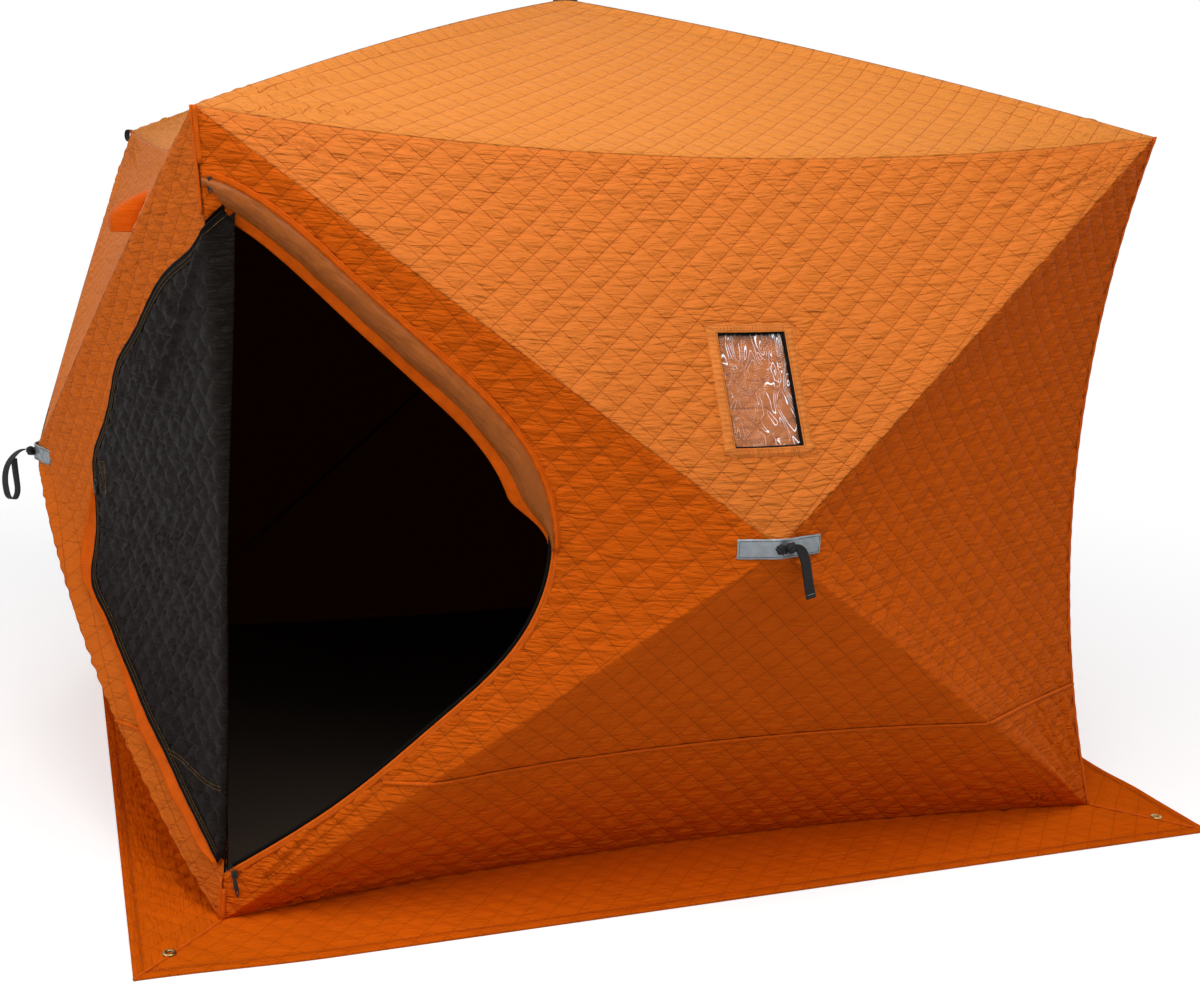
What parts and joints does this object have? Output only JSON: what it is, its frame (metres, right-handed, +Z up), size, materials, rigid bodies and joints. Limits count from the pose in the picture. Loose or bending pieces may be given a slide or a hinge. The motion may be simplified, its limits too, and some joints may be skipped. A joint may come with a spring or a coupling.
{
  "type": "ice fishing shelter",
  "caption": "Square pop-up hut of quilted cloth: walls and roof pushed out by hubs on poles, curved zip doorway standing open, skirt on the ground.",
  "frame": {"origin": "on the ground at the middle of the square footprint", "axes": "+Z up, the front wall with the doorway faces -Y, the left wall faces -X"},
  "size_m": [3.0558, 2.913, 2.053],
  "materials": {
    "quilted_shell": "orange quilted polyester, slight sheen",
    "lining": "charcoal quilted lining",
    "skirt": "orange quilted polyester with a bound hem",
    "storm_flap": "smooth orange polyester, double stitched",
    "zip_tape": "black woven zip tape and coil",
    "zip_sliders": "black",
    "window_frame": "orange polyester binding, double stitched",
    "window_pane": "clear flexible vinyl, wrinkled",
    "window_cover": "quilted cover behind the pane",
    "hubs": "black moulded plastic",
    "poles": "solid fibreglass rod, dark",
    "corner_fittings": "black moulded plastic",
    "reflective_patch": "grey reflective tape",
    "webbing": "black woven webbing",
    "vent_mesh": "black mesh",
    "grommets": "satin"
  },
  "bodies": {
    "root": {"anchor_grommets": "grommets", "back_corner_tabs": "webbing", "back_poles": "poles", "back_skirt": "skirt", "back_wall_bottom_panel": "quilted_shell", "back_wall_left_panel": "quilted_shell", "back_wall_right_panel": "quilted_shell", "back_wall_top_panel": "quilted_shell", "corner_fittings": "corner_fittings", "door_flap": "lining", "door_flap_storm_flap": "storm_flap", "door_flap_zip_tape": "zip_tape", "doorway_zip_tape": "zip_tape", "front_poles": "poles", "front_skirt": "skirt", "front_wall_bottom_panel": "quilted_shell", "front_wall_left_lower_panel": "quilted_shell", "front_wall_left_upper_panel": "quilted_shell", "front_wall_right_panel": "quilted_shell", "front_wall_top_panel": "quilted_shell", "hub_patches": "reflective_patch", "left_poles": "poles", "left_skirt": "skirt", "left_wall_bottom_panel": "quilted_shell", "left_wall_left_panel": "quilted_shell", "left_wall_right_panel": "quilted_shell", "left_wall_top_panel": "quilted_shell", "pull_straps": "webbing", "right_poles": "poles", "right_skirt": "skirt", "right_wall_bottom_panel": "quilted_shell", "right_wall_left_panel": "quilted_shell", "right_wall_right_panel": "quilted_shell", "right_wall_top_panel": "quilted_shell", "roof_back_panel": "quilted_shell", "roof_front_panel": "quilted_shell", "roof_hub": "hubs", "roof_hub_cap": "hubs", "roof_left_panel": "quilted_shell", "roof_poles": "poles", "roof_right_panel": "quilted_shell", "storm_flap": "storm_flap", "vent_hoods": "storm_flap", "vent_meshes": "vent_mesh", "wall_hubs": "hubs", "window_covers": "window_cover", "window_frames": "window_frame", "window_panes": "window_pane", "zip_sliders": "zip_sliders"}
  },
  "joints": []
}
